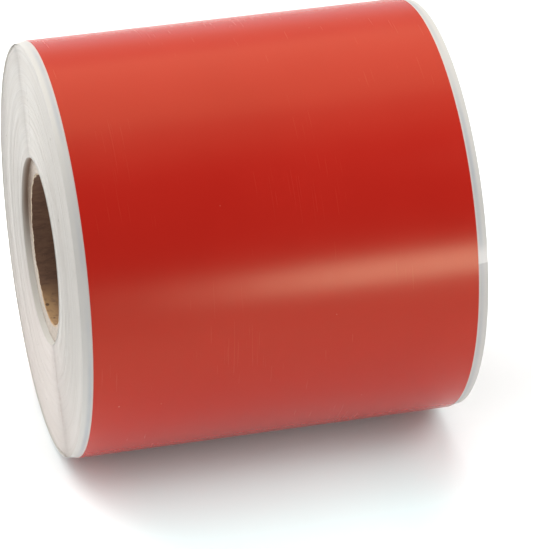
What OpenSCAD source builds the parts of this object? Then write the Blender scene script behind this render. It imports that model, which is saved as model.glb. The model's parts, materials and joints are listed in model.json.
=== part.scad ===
// Roll of self-adhesive sign vinyl: a coloured film on a wider release liner,
// wound on a spirally wound paperboard core. The roll's axis is X, +Z is up and
// the roll lies on its side. The origin is the middle of the core's bore.
// Angles called "past the top" run from the top of the roll over its back (+Y).

/* [Web] */
// Width of the vinyl film, in mm
vinyl_w = 101.6; // [50:0.1:320]
// Bare release liner left beside the film at each edge
liner_margin = 2.7; // [0.5:0.1:10]
// Thickness of the release liner
liner_t = 0.08; // [0.05:0.01:0.2]
// Thickness of the vinyl film
vinyl_t = 0.08; // [0.05:0.01:0.25]
// Bond line between the film and its liner, where the adhesive is
bond_t = 0.02; // [0.01:0.01:0.05]
// Full turns of web wound below the outermost turn
web_turns = 168; // [20:1:300]

/* [Core] */
// Bore of the paperboard core
core_bore_d = 40; // [25:0.5:77]
// Thickness of the smooth ply that lines the bore
inner_ply_t = 0.5; // [0.3:0.1:1]
// Thickness of each body ply
body_ply_t = 1; // [0.5:0.1:2]
// Number of body plies
body_plies = 4; // [2:1:6]
// Thickness of the outer ply that the web is wound on
outer_ply_t = 0.5; // [0.3:0.1:1]
// Depth of each core end below the liner's edges
core_recess = 1.6; // [0:0.1:4]

/* [Start of the web] */
// Thickness of the double-sided tape that holds the web to the core
starter_t = 0.05; // [0.03:0.01:0.15]
// Length of that tape round the core
starter_l = 18; // [8:1:40]
// Gap between the two ends of the first lap
lap_gap = 1; // [0.3:0.1:4]

/* [Free end of the web] */
// Place where the web leaves the roll, in degrees past the top
tail_start = 34; // [20:1:70]
// Number of short bending lengths in the free end
tail_lengths = 3; // [2:1:6]
// Arc of each bending length, in degrees
tail_step = 9; // [6:1:12]
// Arc of the last length, from which the film peels
end_arc = 28; // [16:1:36]
// Arc of film at the start of the last length that stays on the liner
root_arc = 8; // [6:1:10]
// Number of peeling strips of film on the last length
peel_strips = 4; // [2:1:6]
// Clearance between the tip of the free end and the turn below
tail_clear = 0.07; // [0.05:0.01:0.3]

/* [Closing tab] */
// Width of the tab along the roll
tab_w = 24; // [12:1:48]
// Thickness of the tab
tab_t = 0.06; // [0.04:0.01:0.15]
// Length of the tab on the film of the free end
tab_on_film = 4.5; // [2:0.5:6]
// Length of the tab on the turn below
tab_on_roll = 16; // [8:1:30]
// Clearance between the tab and the turn below
tab_clear = 0.06; // [0.03:0.01:0.1]

/* [Hidden] */
$fn = 360;
liner_w = vinyl_w + 2 * liner_margin;
core_w = liner_w - 2 * core_recess;
bore_r = core_bore_d / 2;
body_r = bore_r + inner_ply_t;
outer_ply_r = body_r + body_plies * body_ply_t;
core_r = outer_ply_r + outer_ply_t;
pitch = liner_t + bond_t + vinyl_t;
film_offset = liner_t + bond_t;
first_lap_r = core_r + starter_t;
wound_r = first_lap_r + web_turns * pitch;
end_start = tail_start + tail_lengths * tail_step;
end_stop = end_start + end_arc;
// The outermost turn is a spiral loose enough to leave tail_clear under the free end's tip
outer_rise = (pitch + tail_clear) / (1 - risen(end_stop));
tail_r = wound_r + outer_rise;
tail_outer_r = tail_r + pitch;
peel_start = end_start + root_arc;
strip_arc = (end_arc - root_arc) / peel_strips;
tab_stop = end_stop + tab_on_roll / wound_r * 180 / PI;
// The tab's inside, clear of the outermost turn where the tab ends
tab_r = wound_r + pitch + outer_rise * risen(tab_stop) + tab_clear;
cut_margin = 1;

PLY_NODES = [for (n = [1 : body_plies]) str("core_body_ply_", n)];
TAIL_LINER_NODES = [for (n = [1 : tail_lengths]) str("tail_liner_", n)];
TAIL_VINYL_NODES = [for (n = [1 : tail_lengths]) str("tail_vinyl_", n)];
PEEL_NODES = [for (n = [1 : peel_strips]) str("peel_vinyl_", n)];

// Degrees of arc that a length covers at a radius
function arc_of(length, radius) = length / radius * 180 / PI;

// Share of its rise that the outermost turn has gained at a place in its first half turn
function risen(past) = (1 - cos(past - tail_start)) / 4;

// Turns a shape drawn round Z so that its axis is X and its angle 0 is past the top by "past"
module along_roll(past) {
    rotate([90, 0, 90]) rotate([0, 0, 90 - past]) children();
}

// Tube round the roll's axis
module tube(r_in, r_out, w) {
    along_roll(0) difference() {
        cylinder(r = r_out, h = w, center = true);
        cylinder(r = r_in, h = w + 2 * cut_margin, center = true);
    }
}

// Strip of thickness t and width w from one place past the top to another
module arc_strip(r, t, w, from, to) {
    along_roll(to) rotate_extrude(angle = to - from) translate([r, -w / 2]) square([t, w]);
}

// One turn of a strip whose radius grows by "rise" from tail_start round to tail_start again:
// two half turns about centres a quarter of the rise either side of the axis
module spiral_turn(r, t, w, rise) {
    along_roll(tail_start) {
        translate([-rise / 4, 0, 0]) rotate([0, 0, 180]) rotate_extrude(angle = 180)
            translate([r + rise / 4, -w / 2]) square([t, w]);
        translate([rise / 4, 0, 0]) rotate_extrude(angle = 180)
            translate([r + 3 * rise / 4, -w / 2]) square([t, w]);
    }
}

module core_inner_ply() {
    color("peru") tube(bore_r, body_r, core_w);
}

module core_body_ply(n) {
    r = body_r + (n - 1) * body_ply_t;
    color("tan") tube(r, r + body_ply_t, core_w);
}

module core_outer_ply() {
    color("burlywood") tube(outer_ply_r, core_r, core_w);
}

// Tape on the core under the leading end of the first lap
module starter_tape() {
    half = arc_of(starter_l, core_r) / 2;
    color("lightyellow") arc_strip(core_r, starter_t, vinyl_w, tail_start - half, tail_start + half);
}

// First lap round the core, open at the place where its two ends meet
module first_lap(r, t, w) {
    half_gap = arc_of(lap_gap, first_lap_r) / 2;
    arc_strip(r, t, w, tail_start + half_gap, tail_start + 360 - half_gap);
}

module first_lap_liner() {
    color("whitesmoke") first_lap(first_lap_r, liner_t, liner_w);
}

module first_lap_vinyl() {
    color("firebrick") first_lap(first_lap_r + film_offset, vinyl_t, vinyl_w);
}

// Half of a disc round the roll's axis, on one side of the step in the wound web
module half_disc(shift, r, turned) {
    translate([shift, 0, 0]) rotate([0, 0, turned]) rotate_extrude(angle = 180)
        translate([0, -liner_w / 2]) square([r, liner_w]);
}

// The turns between the core and the outermost turn, as one body.
// Its outside is a spiral with one step, at which the outermost turn begins.
module wound_web() {
    color("gainsboro") along_roll(tail_start) difference() {
        union() {
            half_disc(-pitch / 4, wound_r + pitch / 4, 180);
            half_disc(pitch / 4, wound_r + 3 * pitch / 4, 0);
        }
        cylinder(r = first_lap_r + pitch, h = liner_w + 2 * cut_margin, center = true);
    }
}

module outer_turn_liner() {
    color("white") spiral_turn(wound_r, liner_t, liner_w, outer_rise);
}

module outer_turn_vinyl() {
    color("red") spiral_turn(wound_r + film_offset, vinyl_t, vinyl_w, outer_rise);
}

// Bending length n of the free end's liner
module tail_liner(n) {
    from = tail_start + (n - 1) * tail_step;
    color("white") arc_strip(tail_r, liner_t, liner_w, from, from + tail_step);
}

// Bending length n of the free end's film
module tail_vinyl(n) {
    from = tail_start + (n - 1) * tail_step;
    color("red") arc_strip(tail_r + film_offset, vinyl_t, vinyl_w, from, from + tail_step);
}

// Last length of the liner, which stays as it is while the film peels from it
module tail_liner_end() {
    color("white") arc_strip(tail_r, liner_t, liner_w, end_start, end_stop);
}

// Film at the start of the last length, which stays on the liner
module tail_vinyl_end() {
    color("red") arc_strip(tail_r + film_offset, vinyl_t, vinyl_w, end_start, peel_start);
}

// Strip n of the film on the last length
module peel_vinyl(n) {
    from = peel_start + (n - 1) * strip_arc;
    color("red") arc_strip(tail_r + film_offset, vinyl_t, vinyl_w, from, from + strip_arc);
}

// Tab over the free end: it lies on the film, steps down past the web's cut edge
// and lies on the turn below. It is cut from one thick arc, from below and from above.
module closing_tab() {
    film_from = end_stop - arc_of(tab_on_film, tab_r);
    wall_from = end_stop + arc_of(tab_clear, tab_r);
    wall_to = wall_from + arc_of(tab_t, tab_r);
    full_t = tail_outer_r + tab_t - tab_r;
    cut_w = tab_w + 2 * cut_margin;
    color("ghostwhite") difference() {
        arc_strip(tab_r, full_t, tab_w, film_from, tab_stop);
        arc_strip(tab_r - cut_margin, full_t - tab_t + cut_margin, cut_w, film_from - cut_margin, wall_from);
        arc_strip(tab_r + tab_t, full_t + cut_margin, cut_w, wall_to, tab_stop + cut_margin);
    }
}

core_inner_ply();
for (n = [1 : body_plies]) core_body_ply(n);
core_outer_ply();
starter_tape();
first_lap_liner();
first_lap_vinyl();
wound_web();
outer_turn_liner();
outer_turn_vinyl();
for (n = [1 : tail_lengths]) tail_liner(n);
tail_liner_end();
for (n = [1 : tail_lengths]) tail_vinyl(n);
tail_vinyl_end();
for (n = [1 : peel_strips]) peel_vinyl(n);
closing_tab();
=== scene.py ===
"""The roll of sign vinyl: the wound web, its free end, the core, and the light and camera.

Lengths are metres. The roll's axis is X. "past" is an angle in degrees that runs from the
top of the roll over its back.
"""
import json
import math

import bpy
import numpy as np
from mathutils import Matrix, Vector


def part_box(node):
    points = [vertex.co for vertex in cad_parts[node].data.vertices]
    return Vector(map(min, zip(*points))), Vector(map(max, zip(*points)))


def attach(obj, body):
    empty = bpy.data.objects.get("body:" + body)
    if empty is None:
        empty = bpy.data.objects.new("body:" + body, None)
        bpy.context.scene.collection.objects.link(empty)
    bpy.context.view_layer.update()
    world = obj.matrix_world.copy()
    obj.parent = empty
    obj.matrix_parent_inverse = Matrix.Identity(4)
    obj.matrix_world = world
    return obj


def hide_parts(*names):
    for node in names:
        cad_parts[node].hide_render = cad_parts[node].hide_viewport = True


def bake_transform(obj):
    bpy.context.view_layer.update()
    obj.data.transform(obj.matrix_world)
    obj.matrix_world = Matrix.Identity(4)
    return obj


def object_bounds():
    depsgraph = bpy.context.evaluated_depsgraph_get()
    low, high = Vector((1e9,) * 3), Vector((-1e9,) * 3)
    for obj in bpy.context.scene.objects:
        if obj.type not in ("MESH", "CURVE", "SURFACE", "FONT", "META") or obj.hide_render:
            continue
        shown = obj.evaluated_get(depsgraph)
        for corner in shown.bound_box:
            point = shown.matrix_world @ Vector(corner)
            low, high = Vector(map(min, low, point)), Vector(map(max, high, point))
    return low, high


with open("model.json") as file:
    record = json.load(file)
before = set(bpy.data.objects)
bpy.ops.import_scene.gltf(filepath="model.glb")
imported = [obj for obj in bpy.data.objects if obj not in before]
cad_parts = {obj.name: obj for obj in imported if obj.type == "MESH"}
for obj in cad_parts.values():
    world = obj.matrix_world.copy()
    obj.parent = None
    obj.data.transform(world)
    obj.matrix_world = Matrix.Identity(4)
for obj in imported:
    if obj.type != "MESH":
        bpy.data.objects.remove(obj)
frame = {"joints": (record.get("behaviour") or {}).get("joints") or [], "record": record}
cad_low, cad_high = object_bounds()

MM = 0.001

# Thicknesses of the web's layers
LINER_T = 0.08 * MM
BOND_T = 0.02 * MM
FILM_T = 0.08 * MM
PITCH = LINER_T + BOND_T + FILM_T
FILM_OFFSET = LINER_T + BOND_T
FIRST_LAP_GAP = 1.0 * MM
WEB_TURNS = 168

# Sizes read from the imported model
LINER_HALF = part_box("outer_turn_liner")[1].x
FILM_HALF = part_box("outer_turn_vinyl")[1].x
CORE_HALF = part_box("core_inner_ply")[1].x
CORE_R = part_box("core_outer_ply")[1].z
BORE_R = frame["record"]["mounts"][0]["dims"]["r_mm"] * MM
TAB_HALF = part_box("closing_tab")[1].x
TAB_T = 0.06 * MM
TAPE_T = 0.05 * MM
HINGES = {j["name"]: j for j in frame["joints"]}


def hinge_past(name):
    """Where a hinge is, in degrees past the top."""
    _, y, z = HINGES[name]["pos_m"]
    return math.degrees(math.atan2(y, z))


def highest_past(node, radius):
    """The end of a strip nearest the top, in degrees past it. radius is the strip's outer one."""
    return math.degrees(math.acos(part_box(node)[1].z / radius))


def lowest_past(node, radius):
    """The end of a strip nearest the floor, in degrees past the top. radius is its inner one."""
    return math.degrees(math.acos(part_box(node)[0].z / radius))


TAIL_BENDS = ["tail_lift", "tail_bend_2", "tail_bend_3", "tail_bend_4"]
PEEL_BENDS = ["film_peel", "peel_bend_2", "peel_bend_3", "peel_bend_4"]
TAIL_START = hinge_past("tail_lift")
PEEL_STEP = hinge_past("peel_bend_2") - hinge_past("film_peel")
TAIL_OUTER_R = math.hypot(*HINGES["tail_lift"]["pos_m"][1:])
TAIL_R = TAIL_OUTER_R - PITCH
FIRST_LAP_R = CORE_R + TAPE_T
WOUND_R = FIRST_LAP_R + WEB_TURNS * PITCH
OUTER_RISE = TAIL_R - WOUND_R
END_STOP = lowest_past("tail_liner_end", TAIL_R)

random = np.random.default_rng(7)


# Mesh building

RIPPLE_PEAK = 2.5
# Edges that turn by more degrees than this look sharp
SHARP = 35
SHARP_AT_GAPS = 60


def polar(x, r, past):
    """Points at x along the roll, r from its axis and past degrees over the top towards the back."""
    a = np.radians(past)
    x, y, z = np.broadcast_arrays(x, r * np.sin(a), r * np.cos(a))
    return np.stack([x, y, z], -1)


def mesh_piece(name, points, quads, sharp=SHARP, values=None):
    """A mesh object from an array of points and an array of four corners a face.
    values maps the names of point attributes to arrays."""
    mesh = bpy.data.meshes.new(name)
    mesh.from_pydata(points.reshape(-1, 3), [], quads.reshape(-1, quads.shape[-1]).tolist())
    for key, numbers in (values or {}).items():
        layer = mesh.attributes.new(key, "FLOAT", "POINT")
        layer.data.foreach_set("value", np.asarray(numbers, np.float32).ravel())
    mesh.validate()
    mesh.shade_smooth()
    mesh.set_sharp_from_angle(angle=math.radians(sharp))
    obj = bpy.data.objects.new(name, mesh)
    bpy.context.scene.collection.objects.link(obj)
    return obj


def corner_rows(ids):
    """Four corners for each cell of a grid of point numbers, its columns running along +X."""
    return np.stack([ids[:-1, :-1], ids[:-1, 1:], ids[1:, 1:], ids[1:, :-1]], -1).reshape(-1, 4)


def slab(name, outer, inner, values=None):
    """A closed thin solid between two grids of points, outer and inner, with a wall round its four
    edges. Rows run past the top, columns run along +X."""
    rows, columns = outer.shape[:2]
    over = np.arange(rows * columns).reshape(rows, columns)
    under = over + rows * columns
    walls = [
        np.stack([over[:, :1], under[:, :1]], -1).reshape(rows, 2)[:, ::-1],
        np.stack([over[:, -1:], under[:, -1:]], -1).reshape(rows, 2),
        np.stack([under[:1], over[:1]], -1).reshape(columns, 2).T,
        np.stack([over[-1:], under[-1:]], -1).reshape(columns, 2).T,
    ]
    quads = [corner_rows(over), corner_rows(under)[:, ::-1]] + [corner_rows(w) for w in walls]
    doubled = {k: np.stack([v, v]) for k, v in (values or {}).items()}
    doubled["outside"] = np.repeat([1.0, 0.0], rows * columns)
    return mesh_piece(name, np.stack([outer, inner]), np.concatenate(quads), values=doubled)


def ring_solid(name, points, values=None):
    """A closed ring: the same closed profile at each angle. Rows are angles, columns go round the
    profile, clockwise as seen with the axis pointing right and the outside up."""
    rows, columns = points.shape[:2]
    ids = np.arange(rows * columns).reshape(rows, columns)
    ids = np.pad(ids, ((0, 1), (0, 1)), mode="wrap")
    return mesh_piece(name, points, corner_rows(ids), values=values)


def smooth_step(t):
    """0 up to 0, 1 from 1, and 3t^2 - 2t^3 between."""
    t = np.clip(t, 0, 1)
    return t * t * (3 - 2 * t)


def ripple(past, waves, seed, roughness=0.5):
    """A curve round the roll that closes on itself: a sum of sines with 1 to waves periods a turn,
    random phases and sizes that fall as their number to the power of -roughness. RIPPLE_PEAK times its
    root mean square is 1, so that it seldom leaves 1."""
    draw = np.random.default_rng(seed)
    k = np.arange(1, waves + 1)
    size = draw.uniform(0.4, 1, waves) * k ** -roughness
    phase = draw.uniform(0, 2 * np.pi, waves)
    angle = np.radians(np.asarray(past))[..., None] * k + phase
    curve = (np.sin(angle) * size).sum(-1)
    return curve / (RIPPLE_PEAK * np.sqrt((size ** 2).sum() / 2))


# The web

FILM_WAVE = 0.03 * MM
# Distance across the web in which each of its waves gains a radian
BROAD_WAVE, NARROW_WAVE = 6.3 * MM, 3.1 * MM
BROAD_SHIFT, NARROW_SHIFT = 14 * MM, 9 * MM
MARGIN = LINER_HALF - FILM_HALF
MARGIN_DROP = 0.12 * MM
MARGIN_UNEVEN = 0.35
# The droop and the crease are whole where the share of the margin times the rate is 1
DROP_RATE = 1.6
CREASE_RATE = 2.2
RIM_DROP = 0.34 * MM
RIM_W = 1.2 * MM
# Where the crease is deepest, and how far it runs above and below that, in degrees
CREASE_PAST = -73.4
CREASE_OVER = 0.9
CREASE_UNDER = 4.5
CREASE_DEPTH = 0.3 * MM
# Columns of points across a strip, and how much they crowd towards its edges
FILM_COLUMNS = 61
LINER_COLUMNS = 75
LAP_COLUMNS = 21
CROWDING = 0.55


def spiral_r(past, start_r, rise):
    """Radius of a turn that starts at TAIL_START and gains rise: two half turns, each an arc about
    a centre a quarter of the rise from the roll's axis."""
    turned = np.radians(past - TAIL_START)
    share = np.where(turned <= np.pi, 1 - np.cos(turned), 3 + np.cos(turned)) / 4
    return start_r + rise * share


def web_sag(x, past):
    """How far the web lies below a true cylinder, within FILM_WAVE: half of it, plus two sines that
    run mostly across the web and shift with the place round the roll, plus two that run mostly
    round the roll, 5 and 11 waves a turn, and shift with the place across the web."""
    a = np.radians(past)
    across = np.sin(x / BROAD_WAVE + 1.1 * np.sin(2 * a)) + 0.6 * np.sin(x / NARROW_WAVE + 3 * a)
    along = np.sin(5 * a + x / BROAD_SHIFT) + 0.5 * np.sin(11 * a - x / NARROW_SHIFT)
    return FILM_WAVE * (0.5 + 0.16 * across + 0.12 * along)


def margin_sag(x, past):
    """How far the bare liner droops beside the film: a smooth step over the margin, uneven round
    the roll, the square of a smooth step at the rim, and one creased facet at the right, deepest
    along a sharp line and fading straight to nothing above and below it."""
    out = np.clip((np.abs(x) - FILM_HALF) / MARGIN, 0, 1)
    uneven = 1 + MARGIN_UNEVEN * ripple(past, 14, 3, 0.8)
    drop = MARGIN_DROP * smooth_step(out * DROP_RATE) * uneven
    rim = RIM_DROP * smooth_step((np.abs(x) - LINER_HALF) / RIM_W + 1) ** 2
    away = (past - CREASE_PAST + 180) % 360 - 180
    away = np.where(away > 0, away / CREASE_OVER, -away / CREASE_UNDER)
    crease = CREASE_DEPTH * np.clip(1 - away, 0, 1) * smooth_step(out * CREASE_RATE) * (x > 0)
    return drop + rim + crease


def web_grid(first, last, half, columns):
    """(past, x) grids of a stretch of web, a row a degree. Columns crowd towards the edges: each is
    at its share of the half width plus CROWDING times that share's cube, scaled to end at half."""
    rows = max(3, round(abs(last - first)) + 1)
    share = np.linspace(-1, 1, columns)
    x = half * (share + CROWDING * share ** 3) / (1 + CROWDING)
    return np.meshgrid(np.linspace(first, last, rows), x, indexing="ij")


def unrolled(x, past, turn=0):
    """Where each point is on the flat web: across it, and along it from the top of a turn."""
    return {"across": x, "along": np.radians(past + 360 * turn) * TAIL_R}


def film(name, first, last, radius, turn=0):
    """A stretch of film. radius gives the liner's inside at each place past the top."""
    past, x = web_grid(first, last, FILM_HALF, FILM_COLUMNS)
    under = radius(past) + FILM_OFFSET - web_sag(x, past)
    return slab(name, polar(x, under + FILM_T, past), polar(x, under, past), unrolled(x, past, turn))


def liner(name, first, last, radius, turn=0):
    """A stretch of release liner, with its drooping margins."""
    past, x = web_grid(first, last, LINER_HALF, LINER_COLUMNS)
    under = radius(past) - web_sag(x, past) - margin_sag(x, past)
    return slab(name, polar(x, under + LINER_T, past), polar(x, under, past), unrolled(x, past, turn))


def outer_turn_r(past):
    return spiral_r(past, WOUND_R, OUTER_RISE)


def tail_radius(past):
    return np.full_like(past, TAIL_R)


def bend(piece, hinge, arc, node):
    """Hides the node that a piece of the free end stands for and bakes the piece's place into its
    mesh. It works out points at the hinge and arc degrees past it, but nothing uses them."""
    start, end = (tuple(polar(0.0, TAIL_OUTER_R, hinge_past(hinge) + far)) for far in (0.0, arc))
    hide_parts(node)
    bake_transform(piece)
    return piece


def fixed(piece, node, body="roll"):
    """Makes a piece stand for a node and move with its body."""
    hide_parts(node)
    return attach(piece, body)


# Arcs past each hinge for the free end and for the film that peels from it
TAIL_ARC = hinge_past("film_peel") - hinge_past("tail_bend_4")
PEEL_ARC = PEEL_STEP / 2
turn_end = TAIL_START + 360
outer_film = film("film_outer_turn", TAIL_START, turn_end, outer_turn_r)
films = [fixed(outer_film, "outer_turn_vinyl")]
outer_liner = liner("liner_outer_turn", TAIL_START, turn_end, outer_turn_r)
liners = [fixed(outer_liner, "outer_turn_liner")]

tail_marks = [hinge_past(n) for n in [*TAIL_BENDS, PEEL_BENDS[0]]]
peel_marks = [hinge_past(n) for n in PEEL_BENDS] + [END_STOP]
for i, hinge in enumerate(TAIL_BENDS):
    at_end = hinge == TAIL_BENDS[-1]
    part = "end" if at_end else str(i + 1)
    strip = film(f"film_bend_{part}", tail_marks[i], tail_marks[i + 1], tail_radius, 1)
    films.append(bend(strip, hinge, TAIL_ARC, f"tail_vinyl_{part}"))
    to = END_STOP if at_end else tail_marks[i + 1]
    strip = liner(f"liner_bend_{part}", tail_marks[i], to, tail_radius, 1)
    liners.append(bend(strip, hinge, TAIL_ARC, f"tail_liner_{part}"))
for i, hinge in enumerate(PEEL_BENDS):
    strip = film(f"film_peel_{i + 1}", peel_marks[i], peel_marks[i + 1], tail_radius, 1)
    films.append(bend(strip, hinge, PEEL_ARC, f"peel_vinyl_{i + 1}"))


# The wound turns

TURN_ROWS = 90
EDGE_INSET = 0.12 * MM
EDGE_WANDER = 0.035 * MM
KNOTS_A_TURN = 1.7
STACK_WANDER = 0.03 * MM
# The stack's slow drifts: size, turns for a radian, and phase
STACK_DRIFTS = [(1.0, 9.1, 0), (0.7, 4.3, 1), (0.4, 2.1, 2)]
GAP_DEPTH = 0.16 * MM
# Where a row's columns are between one turn and the next: the liner's edge, then the gap
GAP_STEPS = np.array([0.0, 0.58, 0.79])
THINNEST_START = 0.05
RIM_ROUND = 0.3 * MM
RIM_ROUND_W = 1.1 * MM
SETTLE_DEPTH = 2.5 * MM
REST_CLEAR = 0.03 * MM


def edge_inset(turn, r):
    """How far each turn's edge lies inside the liner's full width: each turn's own wander, which
    carries on from turn to turn, a slow drift of the whole stack and the rounding of the rim."""
    draw = np.random.default_rng(11)
    knots = draw.normal(0, 1, 2 * (WEB_TURNS + 4))
    wander = np.interp(turn * KNOTS_A_TURN, np.arange(knots.size), knots)
    drift = sum(size * np.sin(turn / turns + phase) for size, turns, phase in STACK_DRIFTS)
    rim = np.clip(1 - (WOUND_R - r) / RIM_ROUND_W, 0, 1)
    level = EDGE_WANDER * wander + STACK_WANDER * drift
    return np.clip(EDGE_INSET + level, 0, None) + RIM_ROUND * rim ** 2


def wound_turns():
    """The wound turns as one closed solid. Each end is one long spiral strip: row p is a place
    along the web, TURN_ROWS rows a turn, and its columns step over the liner's edge and down into
    the gap that the film leaves. The last column of row p is joined to row p + TURN_ROWS. Walls run
    from end to end along the inner and outer rims and at the two cut ends of the web. The first
    turn grows from almost nothing, and the outer turns settle under the drooping margins."""
    turns, columns = WEB_TURNS, GAP_STEPS.size
    row = np.arange((turns + 1) * TURN_ROWS + 1)
    turn = row / TURN_ROWS
    past = TAIL_START + 360 * turn
    inner = FIRST_LAP_R + PITCH
    edge_r = np.maximum(inner + PITCH * (turn - 1), inner)
    share = np.clip(turn, THINNEST_START, 1)[:, None]
    r = edge_r[:, None] + share * PITCH * GAP_STEPS
    deep = share * (GAP_STEPS == GAP_STEPS.max())
    settled = np.exp(-(WOUND_R - r) / SETTLE_DEPTH)
    ends = []
    for side in (-1, 1):
        x = side * (LINER_HALF - edge_inset(turn[:, None] + 0 * r, r) - GAP_DEPTH * deep)
        sag = margin_sag(x, past[:, None] + 0 * r) + FILM_WAVE + REST_CLEAR
        ends.append(polar(x, r - sag * settled, past[:, None]))
    count = row.size * columns
    ids = np.arange(count).reshape(row.size, columns)
    strip = np.concatenate([ids[:-TURN_ROWS], ids[TURN_ROWS:, :1]], 1)
    face = corner_rows(strip)
    outer_rim, inner_rim = ids[turns * TURN_ROWS:, 0], ids[:TURN_ROWS + 1, 0]
    facing_out = [outer_rim, strip[0]]
    facing_in = [inner_rim, strip[-1]]
    walls = [corner_rows(np.stack([rim, rim + count], 1)) for rim in facing_out]
    walls += [corner_rows(np.stack([rim + count, rim], 1)) for rim in facing_in]
    quads = np.concatenate([face, face[:, ::-1] + count] + walls)
    used, quads = np.unique(quads, return_inverse=True)
    tone = np.interp(turn, np.arange(turns + 3), random.uniform(0, 1, turns + 3))
    values = {
        "gap": np.stack([deep, deep]).ravel()[used],
        "tone": np.broadcast_to(tone[:, None], (2, row.size, columns)).ravel()[used],
    }
    points = np.stack(ends).reshape(-1, 3)[used]
    return mesh_piece("wound_turns", points, quads.reshape(-1, 4), SHARP_AT_GAPS, values)


turns_piece = fixed(wound_turns(), "wound_web")


# The first lap, with its tape on the core

FIRST_GAP_HALF = math.degrees(FIRST_LAP_GAP / FIRST_LAP_R) / 2
TAPE_HALF = TAIL_START - highest_past("starter_tape", CORE_R + TAPE_T)
TAPE_ROWS = 61


def plain_strip(name, inner, thickness, half, first, last):
    """A strip that follows a true cylinder round the core."""
    past, x = web_grid(first, last, half, LAP_COLUMNS)
    return slab(name, polar(x, inner + thickness, past), polar(x, inner, past), unrolled(x, past))


lap = (TAIL_START + FIRST_GAP_HALF, TAIL_START + 360 - FIRST_GAP_HALF)
lap_liner = plain_strip("liner_first_lap", FIRST_LAP_R, LINER_T, LINER_HALF, *lap)
lap_film = plain_strip("film_first_lap", FIRST_LAP_R + FILM_OFFSET, FILM_T, FILM_HALF, *lap)
liners.append(fixed(lap_liner, "first_lap_liner"))
films.append(fixed(lap_film, "first_lap_vinyl"))


def frayed_strip(name, start, stop, half, radius, thickness, tooth, teeth):
    """A strip of tape. Its two ends are zigzags of that many teeth, each tooth degrees deep, where
    a cutter's blade tore it. radius gives its underside at each place past the top."""
    columns = np.linspace(-1, 1, 4 * teeth + 1)
    zigzag = tooth * np.abs((np.arange(columns.size) / 2) % 2 - 1)
    share = smooth_step(np.linspace(0, 1, TAPE_ROWS))[:, None]
    past = (start + zigzag) * (1 - share) + (stop - zigzag) * share
    under = radius(past)
    x = half * columns + 0 * past
    return slab(name, polar(x, under + thickness, past), polar(x, under, past), unrolled(x, past))


def on_core(past):
    return np.full_like(past, CORE_R)


# Each tape's cut ends: how deep a tooth is, in degrees, and how many there are
CORE_TAPE_CUT = (0.5, 60)
TAB_CUT = (0.45, 22)
tape_ends = (TAIL_START - TAPE_HALF, TAIL_START + TAPE_HALF)
core_tape = frayed_strip("tape_on_core", *tape_ends, FILM_HALF, on_core, TAPE_T, *CORE_TAPE_CUT)
tapes = [fixed(core_tape, "starter_tape")]

TAB_CLEAR = 0.06 * MM
TAB_STEP_ARC = 1.3
TAB_START = highest_past("closing_tab", TAIL_OUTER_R + TAB_T)
TAB_STOP = lowest_past("closing_tab", TAIL_R)
TAB_R = float(outer_turn_r(TAB_STOP)) + PITCH + TAB_CLEAR


def tab_radius(past):
    """The tab's underside: on the film up to the web's cut end, then down a short slope to the turn
    below."""
    return TAIL_OUTER_R + (TAB_R - TAIL_OUTER_R) * smooth_step((past - END_STOP) / TAB_STEP_ARC)


tab = frayed_strip("tab_tape", TAB_START, TAB_STOP, TAB_HALF, tab_radius, TAB_T, *TAB_CUT)
tapes.append(fixed(tab, "closing_tab", "peel_4"))


# The core

BODY_PLIES = 4
PLY_ROWS = 480
PLY_PAST = np.arange(PLY_ROWS)[:, None] * 360 / PLY_ROWS
LINING_COLUMNS = 60
BEVEL = 0.07 * MM
# Length of the cut fibres at a ply's ends, and the most waves of them in a turn
FIBRE = 0.07 * MM
FIBRE_WAVES = 110
# The torn left end of the bore's lining. It is deepest at the bore's mouth, where the share of the
# bore's length to the power of TEAR_FADE is 1, and TEAR_AT_BACK of that at the ply's back. Round
# the top it is TORN_LEAST of its depth. It is whole from TORN_IN degrees beyond TORN_FROM to
# TORN_OUT degrees short of TORN_TO, all in degrees past the top.
TEAR = 1.2 * MM
TEAR_FADE = 14
TEAR_AT_BACK = 0.25
TORN_LEAST = 0.2
TORN_FROM, TORN_IN = 50, 50
TORN_TO, TORN_OUT = 212, 40
# The lining's helical seam: degrees it turns a metre, half its width in degrees, how many times
# steeper its sides are than a slope to its middle, and its depth
SEAM_TURN = 360 / (118 * MM)
SEAM_HALF = 1.5
SEAM_STEEP = 3
SEAM_DEPTH = 0.2 * MM


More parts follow.
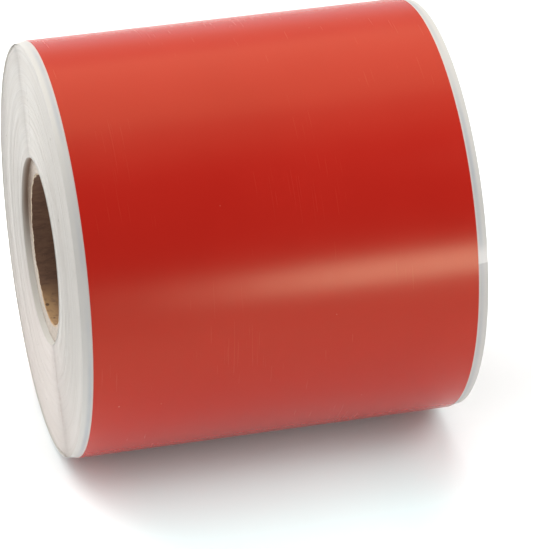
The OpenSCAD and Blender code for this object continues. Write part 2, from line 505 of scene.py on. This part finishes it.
def core_ply(name, inner, outer, seed, tear=0.0, seam=0.0, columns=3):
    """A ring of the core. Its profile has bevelled corners and ends that cut fibres make uneven.
    tear gives how far the left end is torn away at each row, most at the bore and least at the ply's
    back. With a seam, the rows follow a helix and the ones nearest it lie deeper in the wall.
    columns is how many columns of points there are along the bore and along the outside."""
    top = CORE_HALF - BEVEL
    along = np.linspace(-top, top, columns)
    end_r = np.array([inner + BEVEL, (inner + outer) / 2, outer - BEVEL])
    x = np.concatenate([along, [CORE_HALF] * 3, along[::-1], [-CORE_HALF] * 3])
    r = np.concatenate([[outer] * columns, end_r[::-1], [inner] * columns, end_r])
    at_end = np.abs(x) > top
    rough = np.stack([ripple(PLY_PAST[:, 0], FIBRE_WAVES, seed + i, 0.2) for i in range(x.size)], 1)
    x = x - np.sign(x) * FIBRE * np.abs(rough) * at_end
    share = np.clip((CORE_HALF - x) / (2 * CORE_HALF), 0, 1)
    depth = 1 - (1 - TEAR_AT_BACK) * np.clip((r - inner) / (outer - inner), 0, 1)
    x = x + tear * share ** TEAR_FADE * depth
    turned = PLY_PAST + SEAM_TURN * x * (seam > 0)
    nearness = 1 - np.abs((PLY_PAST + 180) % 360 - 180) / SEAM_HALF
    groove = smooth_step(nearness * SEAM_STEEP) * (r < inner + BEVEL) * ~at_end
    raw = np.broadcast_to(at_end.astype(float), x.shape)
    return ring_solid(name, polar(x, r + seam * groove, turned), {"raw": raw})


def torn_away(past):
    """How far the bore's lining is torn from the left end: broad bites with ragged rims, deepest on
    the lower back and shallowest round the top and the front."""
    broad = smooth_step(0.5 + 1.6 * ripple(past, 26, 21, 0.1))
    ragged = smooth_step(0.5 + 1.5 * ripple(past, 120, 22, -0.2))
    low = smooth_step((past - TORN_FROM) / TORN_IN) * smooth_step((TORN_TO - past) / TORN_OUT)
    where = TORN_LEAST + (1 - TORN_LEAST) * low
    return TEAR * where * np.clip(broad * 0.6 + ragged * 0.4, 0.02, 1)


body_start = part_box("core_inner_ply")[1].z
body_ply_t = (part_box("core_outer_ply")[1].z - body_start) / (BODY_PLIES + 0.5)
tear = torn_away(PLY_PAST)
lining = core_ply("core_lining", BORE_R, body_start, 30, tear, SEAM_DEPTH, LINING_COLUMNS)
boards = [fixed(lining, "core_inner_ply")]
for i in range(BODY_PLIES):
    near = body_start + i * body_ply_t
    board = core_ply(f"core_board_{i + 1}", near, near + body_ply_t, 50 + 20 * i)
    boards.append(fixed(board, f"core_body_ply_{i + 1}"))
wrap = core_ply("core_wrap", body_start + BODY_PLIES * body_ply_t, CORE_R, 150)
boards.append(fixed(wrap, "core_outer_ply"))


# Materials

class Wire:
    """One socket of a node. Arithmetic on it adds Math nodes, and node() adds any other node."""

    def __init__(self, tree, socket):
        self.tree = tree
        self.socket = socket

    def node(self, kind, sockets, out=0, **settings):
        """Adds a node: its settings first, then its sockets' values or links. Gives one output."""
        new = self.tree.nodes.new(kind)
        for key, value in settings.items():
            setattr(new, key, value)
        for key, value in sockets.items():
            if isinstance(value, Wire):
                self.tree.links.new(value.socket, new.inputs[key])
            else:
                new.inputs[key].default_value = value
        return Wire(self.tree, new.outputs[out])

    def math(self, operation, *values):
        return self.node("ShaderNodeMath", dict(enumerate(values)), operation=operation)

    def __add__(self, other):
        return self.math("ADD", self, other)

    def __radd__(self, other):
        return self.math("ADD", other, self)

    def __sub__(self, other):
        return self.math("SUBTRACT", self, other)

    def __rsub__(self, other):
        return self.math("SUBTRACT", other, self)

    def __mul__(self, other):
        return self.math("MULTIPLY", self, other)

    def __rmul__(self, other):
        return self.math("MULTIPLY", other, self)

    def __truediv__(self, other):
        return self.math("DIVIDE", self, other)

    def __pow__(self, other):
        return self.math("POWER", self, other)

    def __abs__(self):
        return self.math("ABSOLUTE", self)

    def steps(self, low, high):
        """0 below low, 1 above high, and a smooth step between."""
        return self.node("ShaderNodeMapRange", {"Value": self, "From Min": low, "From Max": high},
                         interpolation_type="SMOOTHSTEP")

    def tint(self, off, on):
        """The colour off where this is 0 and on where it is 1. Each is a colour or a wire."""
        off, on = (c if isinstance(c, Wire) else (*c, 1) for c in (off, on))
        return self.node("ShaderNodeMix", {0: self, 6: off, 7: on}, 2, data_type="RGBA")

    def noise(self, scale, detail=2.0, roughness=0.5):
        """Noise from about 0.2 to 0.8 on this vector, scaled by (x, y, z) periods a metre."""
        at = self.node("ShaderNodeVectorMath", {0: self, 1: scale}, operation="MULTIPLY")
        sockets = {"Vector": at, "Scale": 1.0, "Detail": detail, "Roughness": roughness}
        return self.node("ShaderNodeTexNoise", sockets)

    def near(self, place, radius):
        """1 at a place, 0 beyond its radius."""
        gap = self.node("ShaderNodeVectorMath", {0: self, 1: place}, 1, operation="DISTANCE")
        return 1 - (gap / radius).steps(0.6, 1.0)


def srgb(r, g, b):
    """Linear values of a colour given as 0 to 255 on a screen, by the standard curve of screens."""
    levels = np.array([r, g, b]) / 255
    return tuple(np.where(levels <= 0.04045, levels / 12.92, ((levels + 0.055) / 1.055) ** 2.4).tolist())


def material(name, look, constants=None):
    """A Principled material. look(start) gives what varies: a dict of sockets and their wires, where
    bump is a height in metres. constants are the values that are the same all over."""
    made = bpy.data.materials.new(name)
    made.use_nodes = True
    tree = made.node_tree
    shader = tree.nodes["Principled BSDF"]
    for key, value in (constants or {}).items():
        shader.inputs[key].default_value = value
    start = Wire(tree, None)
    varied = look(start)
    height = varied.pop("bump", None)
    if height is not None:
        sockets = {"Height": height, "Distance": 1.0, "Strength": 1.0}
        varied["Normal"] = start.node("ShaderNodeBump", sockets)
    for key, wire in varied.items():
        tree.links.new(wire.socket, shader.inputs[key])
    return made


def attribute(start, name, out="Fac"):
    return start.node("ShaderNodeAttribute", {}, out, attribute_name=name)


def object_place(start):
    return start.node("ShaderNodeTexCoord", {}, "Object")


def parts_of(vector):
    """The x, y and z of a vector."""
    return [vector.node("ShaderNodeSeparateXYZ", {0: vector}, i) for i in range(3)]


def joined(x, y, z):
    wire = next(w for w in (x, y, z) if isinstance(w, Wire))
    return wire.node("ShaderNodeCombineXYZ", {0: x, 1: y, 2: z})


def web_place(start):
    """Where a point is on the flat web, across it and along it, in metres."""
    return joined(attribute(start, "across"), attribute(start, "along"), 0.0)


def roll_place(start):
    """(r, past) of a point: its distance from the axis, in metres, and its degrees past the top."""
    _, y, z = parts_of(object_place(start))
    r = (y * y + z * z) ** 0.5
    past = start.node("ShaderNodeMath", {0: y, 1: z}, operation="ARCTAN2") * (180 / math.pi)
    return r, past


def round_grain(start, r_scale, turn_scale):
    """Noise drawn out round the roll, without a seam: r_scale periods a metre outwards, turn_scale
    of them a turn."""
    _, y, z = parts_of(object_place(start))
    r = (y * y + z * z) ** 0.5
    share = turn_scale / (2 * math.pi)
    return joined(r * r_scale, y / r * share, z / r * share).noise((1, 1, 1), 3.0, 0.6)


def red_vinyl(start):
    """Satin film: fine lines along the web, a faint cloudiness and pale dust. Its back is hazy
    adhesive."""
    web = web_place(start)
    outside = attribute(start, "outside")
    lines = web.noise((2600, 45, 1), 2.0)
    clouds = web.noise((38, 26, 1), 3.0)
    dust = web.noise((900, 900, 1), 0.0).steps(0.9, 0.93)
    face = clouds.tint(srgb(172, 29, 21), srgb(180, 34, 25))
    face = (dust * 0.25).tint(face, srgb(220, 170, 160))
    back = lines.tint(srgb(188, 76, 66), srgb(200, 92, 82))
    swells = web.noise((170, 60, 1), 1.0)
    stipple = web.noise((1500, 1500, 1), 1.0) * (1 - outside)
    return {
        "Base Color": outside.steps(0.4, 0.6).tint(back, face),
        "Roughness": 0.19 + 0.08 * lines + 0.05 * clouds,
        "bump": 0.5e-6 * lines + 9e-6 * swells + 5e-6 * stipple,
    }


# Height of the crease's lower end as a share of the roll's radius, and how far above it the painted
# highlight comes and goes
CREASE_LOW = math.cos(math.radians(CREASE_PAST - CREASE_UNDER))
HIGHLIGHT_EDGE = 0.006
HIGHLIGHT_FADES, HIGHLIGHT_GONE = 0.04, 0.1


def liner_paper(start):
    """Release liner: faint cloudiness and lines along the web on an off-white satin face, a painted
    thin shadow beside the film's edge, a pink tint where the film ends that is partly dye bleed and
    partly a painted red glow, and a plain matt back. On the front of the right margin the crease has
    a painted highlight, and what is below it is painted shade."""
    web = web_place(start)
    outside = attribute(start, "outside")
    past_film = (abs(attribute(start, "across")) - FILM_HALF) / MM
    lines = web.noise((1300, 50, 1), 2.0)
    clouds = web.noise((90, 35, 1), 3.0)
    face = clouds.tint(srgb(186, 184, 180), srgb(199, 197, 192))
    # Painted shade: a grey-blue band on the margin just beside the film's edge.
    film_edge_shade = past_film.steps(0.2, 0.7) * (1 - past_film.steps(0.9, 1.9))
    face = (film_edge_shade * clouds.steps(0.25, 0.6) * 0.75).tint(face, srgb(160, 164, 170))
    # Pink tint at the film's edge: partly dye bleed, partly a painted red glow.
    face = ((1 - past_film.steps(0.0, 0.35)) * 0.4).tint(face, srgb(205, 140, 136))
    x, y, z = parts_of(object_place(start))
    front = (x / LINER_HALF).steps(0.0, 0.1) * (1 - (y / TAIL_R).steps(-0.3, 0.0))
    height = z / TAIL_R
    above = height.steps(CREASE_LOW, CREASE_LOW + HIGHLIGHT_EDGE)
    # Painted shade on the front of the right margin below the crease.
    face = (front * (1 - above) * 0.3).tint(face, srgb(172, 165, 161))
    # Painted highlight on the crease of the right margin.
    crease_highlight = front * above * (1 - height.steps(CREASE_LOW + HIGHLIGHT_FADES, CREASE_LOW + HIGHLIGHT_GONE))
    face = (crease_highlight * 0.8).tint(face, srgb(218, 215, 211))
    back = lines.tint(srgb(196, 194, 188), srgb(208, 206, 200))
    return {
        "Base Color": outside.steps(0.4, 0.6).tint(back, face),
        "Roughness": 0.52 - 0.14 * outside + 0.1 * clouds,
        "bump": 3e-6 * lines + 8e-6 * clouds,
    }


def lap_liner_paper(start):
    """The first lap's liner, with painted brown shade on its back over the upper part, less of it
    at the liner's very edge."""
    varied = liner_paper(start)
    x, _, z = parts_of(object_place(start))
    depth = (LINER_HALF - abs(x)) / MM
    back = 1 - attribute(start, "outside")
    # Painted shade: the upper part of the recess wall, which gets little light, is browned.
    brown = back * (z / CORE_R).steps(-0.75, 0.1) * depth.steps(-0.5, 1.4)
    varied["Base Color"] = brown.tint(varied["Base Color"], srgb(120, 98, 82))
    return varied


# Each radial line, partly a scuff and partly a painted reflection: degrees past the top, where it
# starts and ends in mm from the axis, and colour
SCUFF_AND_SHEEN_LINES = [(15.5, 26.0, 50.0, srgb(140, 140, 138)), (-148.0, 28.0, 53.0, srgb(168, 138, 126))]
LINE_FADE_IN, LINE_FADE_OUT = 6, 12


def turn_edges(start):
    """The edges of the wound liner: off-white, fine concentric lines with darker gaps, partly the red
    film's edge inside them and partly painted shade, slow drifts of tone, warmer towards the floor,
    two dotted radial lines, one grey and one brownish, partly scuffs and partly painted reflection,
    and a few specks."""
    r, past = roll_place(start)
    gap = attribute(start, "gap")
    tone = attribute(start, "tone")
    fine = round_grain(start, 2600, 40)
    broad = round_grain(start, 330, 5)
    edge = tone.tint(srgb(192, 190, 186), srgb(203, 201, 197))
    edge = (broad.steps(0.35, 0.7) * 0.4).tint(edge, srgb(194, 190, 184))
    edge = (fine.steps(0.5, 0.8) * 0.35).tint(edge, srgb(190, 187, 181))
    # Darker, warmer gaps: partly the red film's edge deep inside, partly painted shade.
    edge = (gap * 0.2).tint(edge, srgb(186, 168, 160))
    low = abs(past).steps(95, 165)
    edge = (low * 0.3).tint(edge, srgb(220, 205, 200))
    dots = object_place(start).noise((900, 900, 900), 1.0)
    # Dotted radial lines: partly scuffs, partly painted reflection of the stacked edges' sheen.
    for at, near, far, colour in SCUFF_AND_SHEEN_LINES:
        wander = (round_grain(start, 240, 1) - 0.5) * 1.2
        across = (past - at) * (math.pi / 180) * r / MM + wander
        band = 1 - abs(across).steps(0.1, 0.6)
        band = band * (r / MM).steps(near, near + LINE_FADE_IN) * (1 - (r / MM).steps(far - LINE_FADE_OUT, far))
        edge = (band * dots.steps(0.42, 0.6) * 0.6).tint(edge, colour)
    specks = object_place(start).noise((620, 620, 620), 0.0).steps(0.85, 0.88)
    edge = (specks * 0.5).tint(edge, srgb(120, 112, 104))
    return {
        "Base Color": edge,
        "Roughness": 0.62 + 0.15 * fine,
        "bump": 12e-6 * fine,
    }


def at_back(place):
    """1 on the back of the hole at and above its middle, where painted shade browns the core's cut
    ends, and 0 at the top and the bottom."""
    _, y, z = parts_of(place)
    return (y / CORE_R).steps(0.45, 0.85) * (z / CORE_R).steps(-0.6, 0.1)


def cardboard(low, high, raw_low, raw_high, back_shade=0.0):
    """A look for a ply of the core: fibres along it on its faces, and a paler, rougher cut end.
    The last argument is how much painted brown shade there is on the back of the cut ends."""
    def look(start):
        place = object_place(start)
        raw = attribute(start, "raw").steps(0.35, 0.65)
        fibres = place.noise((260, 900, 900), 4.0, 0.7)
        flecks = place.noise((1900, 1900, 1900), 1.0).steps(0.66, 0.74)
        face = fibres.steps(0.3, 0.7).tint(low, high)
        face = (flecks * 0.35).tint(face, srgb(70, 52, 38))
        cut = place.noise((1400, 1400, 1400), 3.0, 0.7)
        ends = cut.steps(0.3, 0.7).tint(raw_low, raw_high)
        # Painted shade: the cut ends at the back of the hole are browned.
        ends = (back_shade * at_back(place)).tint(ends, srgb(104, 85, 69))
        return {
            "Base Color": raw.tint(face, ends),
            "Roughness": 0.78 + 0.14 * fibres,
            "bump": 22e-6 * fibres + 40e-6 * cut * raw,
        }
    return look


# Each dark spot: mm along the roll, degrees past the top, and its radius in mm
DARK_SPOTS = [(-51.2, 167.0, 0.66), (-50.6, -174.0, 0.42)]
LINING_FACE = (srgb(94, 68, 54), srgb(118, 88, 68))
LINING_ENDS = (srgb(168, 152, 130), srgb(194, 180, 158))


def bore_lining(start):
    """The bore's brown lining, with a painted pool of light on the left end's underside and two dark
    spots there.
    """
    varied = cardboard(*LINING_FACE, *LINING_ENDS)(start)
    place = object_place(start)
    wobble = place.noise((700, 700, 700), 2.0)
    x, _, z = parts_of(place)
    # Painted light: a pale tan pool on the underside near the left end, where light falls into the bore.
    painted_light_pool = (1 - (x / CORE_HALF).steps(-0.99, -0.86)) * (1 - (z / BORE_R).steps(-1.0, -0.8))
    colour = (painted_light_pool * wobble.steps(0.1, 0.55)).tint(varied["Base Color"], srgb(170, 134, 92))
    for along, past, radius in DARK_SPOTS:
        at = tuple(polar(along * MM, BORE_R, past))
        # Two darker spots near the bore's mouth.
        dark_spot = place.near(at, radius * MM) * wobble.steps(0.3, 0.5)
        colour = (dark_spot * 0.8).tint(colour, srgb(66, 40, 28))
    varied["Base Color"] = colour
    return varied


def paper_tape(start):
    """Crepe paper tape: fine ridges across it and a mottled tone."""
    web = web_place(start)
    ridges = web.noise((120, 1800, 1), 3.0, 0.6)
    mottle = web.noise((300, 300, 1), 3.0)
    return {
        "Base Color": mottle.tint(srgb(172, 164, 144), srgb(188, 181, 164)),
        "Roughness": 0.55 + 0.2 * ridges,
        "bump": 14e-6 * ridges,
    }


# The cooler part of the floor is centred this far in front of the roll's axis
COOL_AHEAD = 0.045


def studio_floor(start):
    """A white acrylic floor with a painted glow that lightens the roll's shadow. The glow is faint
    right under the roll's axis and far from it, strongest a little way in front and behind, and
    weaker to the right. The floor is painted cooler near the roll, which evens out the red that the
    film throws on it."""
    clouds = object_place(start).noise((3, 3, 3), 2.0)
    x, y, _ = parts_of(object_place(start))
    near = (1 - abs(y + COOL_AHEAD).steps(0.03, 0.1)) * (1 - abs(x).steps(0.03, 0.06))
    white = clouds.tint(srgb(237, 237, 237), srgb(239, 239, 239))
    out = abs(y)
    # Painted glow that lightens the floor in and around the roll's shadow.
    lit = out.steps(0.005, 0.06) * (1 - out.steps(0.12, 0.3)) * (1 - 0.4 * x.steps(0.01, 0.07))
    return {
        "Base Color": near.tint(white, srgb(205, 238, 238)),
        "Roughness": 0.85 + 0.05 * clouds,
        "Emission Color": lit.tint((0.03, 0.03, 0.03), (0.44, 0.44, 0.44)),
    }


def dress(pieces, made):
    for piece in pieces:
        piece.data.materials.clear()
        piece.data.materials.append(made)


satin = {"Specular Tint": (1.0, 0.9, 0.57, 1.0), "Specular IOR Level": 0.33}
dress(films, material("red_satin_film", red_vinyl, satin))
dress(liners, material("release_liner", liner_paper))
dress([lap_liner], material("lap_liner", lap_liner_paper))
dress([turns_piece], material("wound_edges", turn_edges))
dress(boards[:1], material("bore_lining", bore_lining))
board_face = srgb(166, 150, 134), srgb(186, 172, 156)
board_ends = srgb(160, 150, 140), srgb(184, 174, 164)
dress(boards[1:], material("core_board", cardboard(*board_face, *board_ends, back_shade=0.9)))
dress(tapes, material("crepe_tape", paper_tape))


# Floor, light and camera

FLOOR_REACH = 4.0
FLOOR_ROWS = 9


def floor_piece():
    """A square floor at the roll's lowest point, under it and far past it."""
    along = np.linspace(-FLOOR_REACH, FLOOR_REACH, FLOOR_ROWS)
    x, y = np.meshgrid(along, along)
    points = np.stack([x, y, np.full_like(x, cad_low[2])], -1)
    ids = np.arange(FLOOR_ROWS ** 2).reshape(FLOOR_ROWS, FLOOR_ROWS)
    return mesh_piece("studio_floor", points, corner_rows(ids))


floor = floor_piece()
dress([floor], material("studio_floor", studio_floor, {"Emission Strength": 1.0}))


def panel(name, place, target, size, power, colour=(1, 1, 1), gloss=True, matt=True):
    """A soft box: a rectangle of light at a place, facing a target, size = (width, height) and power
    in watts. Without gloss it leaves no reflection, and without matt a reflection is all it leaves."""
    lamp = bpy.data.lights.new(name, "AREA")
    lamp.shape = "RECTANGLE"
    lamp.size, lamp.size_y = size
    lamp.energy = power
    lamp.color = colour
    box = bpy.data.objects.new(name, lamp)
    box.location = place
    aim = Vector(target) - Vector(place)
    box.rotation_euler = aim.to_track_quat("-Z", "Y").to_euler()
    box.visible_camera = False
    box.visible_glossy = gloss
    box.visible_diffuse = matt
    bpy.context.scene.collection.objects.link(box)


CENTRE = (0.0, 0.0, 0.0)
STRIP_LEFT, STRIP_RIGHT, STRIP_Y = 0.07, 0.28, -0.4
STRIP_LOW, STRIP_HIGH = -0.05, 0.035
strip_middle = ((STRIP_LEFT + STRIP_RIGHT) / 2, STRIP_Y, (STRIP_LOW + STRIP_HIGH) / 2)
strip_size = (STRIP_RIGHT - STRIP_LEFT, STRIP_HIGH - STRIP_LOW)
panel("overhead_box", (-0.12, 0.45, 1.2), CENTRE, (1.6, 1.2), 14.3, gloss=False)
panel("front_fill", (0.22, -0.2, 0.25), CENTRE, (0.15, 0.15), 0.39, gloss=False)
panel("sheen_box", (-0.1, 0.58, 1.2), CENTRE, (2.0, 1.3), 8.7, (1.0, 0.8, 0.5), matt=False)
panel("left_box", (-0.24, 0.28, 0.1), (-0.05, 0.03, 0.0), (0.25, 0.25), 0.6)
panel("front_strip", strip_middle, (strip_middle[0], 0, strip_middle[2]), strip_size, 0.58, matt=False)


OPENING = math.radians(12)
OPENING_DARK = 0.88
TENT_LIGHT = 0.85


def light_tent():
    """A white world with an opening towards the front, OPENING round from it. The opening is dark
    over a band of height, which keeps the film's colour deep. Reflections of the tent's upper part
    are warm. Seen directly, the world is plain white."""
    world = bpy.data.worlds.new("light_tent")
    world.use_nodes = True
    tree = world.node_tree
    start = Wire(tree, None)
    x, y, z = parts_of(start.node("ShaderNodeTexCoord", {}, "Generated"))
    height_band = z.steps(0.0, 0.25) * (1 - z.steps(0.85, 1.0))
    across, ahead = math.sin(OPENING), math.cos(OPENING)
    facing = ((across * x - ahead * y) / (x * x + y * y + 1e-6) ** 0.5).steps(0.57, 0.93)
    strength = TENT_LIGHT * (1 - OPENING_DARK * height_band * facing)
    seen = start.node("ShaderNodeLightPath", {}, "Is Camera Ray")
    reflected = start.node("ShaderNodeLightPath", {}, "Is Glossy Ray") * z.steps(0.1, 0.35)
    warm = reflected.tint((1, 1, 1), (1, 0.86, 0.62))
    light = start.node("ShaderNodeBackground", {"Color": warm, "Strength": strength})
    plain = start.node("ShaderNodeBackground", {"Color": (1, 1, 1, 1), "Strength": 1.0})
    mixed = start.node("ShaderNodeMixShader", {0: seen, 1: light, 2: plain})
    tree.links.new(mixed.socket, tree.nodes["World Output"].inputs["Surface"])
    bpy.context.scene.world = world


light_tent()

CAMERA_AZIMUTH = math.radians(-14.237)
CAMERA_HEIGHT = math.radians(30.583)
CAMERA_DISTANCE = 0.97886
CAMERA_RIGHT = 0.00815
CAMERA_UP = -0.01289
LENS = 239.6
SENSOR = 36
FARTHEST_SEEN = 20


def studio_camera():
    """A camera CAMERA_AZIMUTH round from the front and CAMERA_HEIGHT above level, looking parallel to
    the line to the roll's middle, and CAMERA_RIGHT and CAMERA_UP off that line."""
    back = np.array([
        math.sin(CAMERA_AZIMUTH) * math.cos(CAMERA_HEIGHT),
        -math.cos(CAMERA_AZIMUTH) * math.cos(CAMERA_HEIGHT),
        math.sin(CAMERA_HEIGHT),
    ])
    right = np.array([math.cos(CAMERA_AZIMUTH), math.sin(CAMERA_AZIMUTH), 0])
    up = np.cross(back, right)
    eye = bpy.data.cameras.new("studio_camera")
    eye.sensor_width = SENSOR
    eye.lens = LENS
    eye.clip_end = FARTHEST_SEEN
    camera = bpy.data.objects.new("studio_camera", eye)
    camera.location = back * CAMERA_DISTANCE + right * CAMERA_RIGHT + up * CAMERA_UP
    camera.rotation_euler = (-Vector(back)).to_track_quat("-Z", "Y").to_euler()
    bpy.context.scene.collection.objects.link(camera)
    bpy.context.scene.camera = camera


studio_camera()
bpy.context.scene.view_settings.view_transform = "Standard"
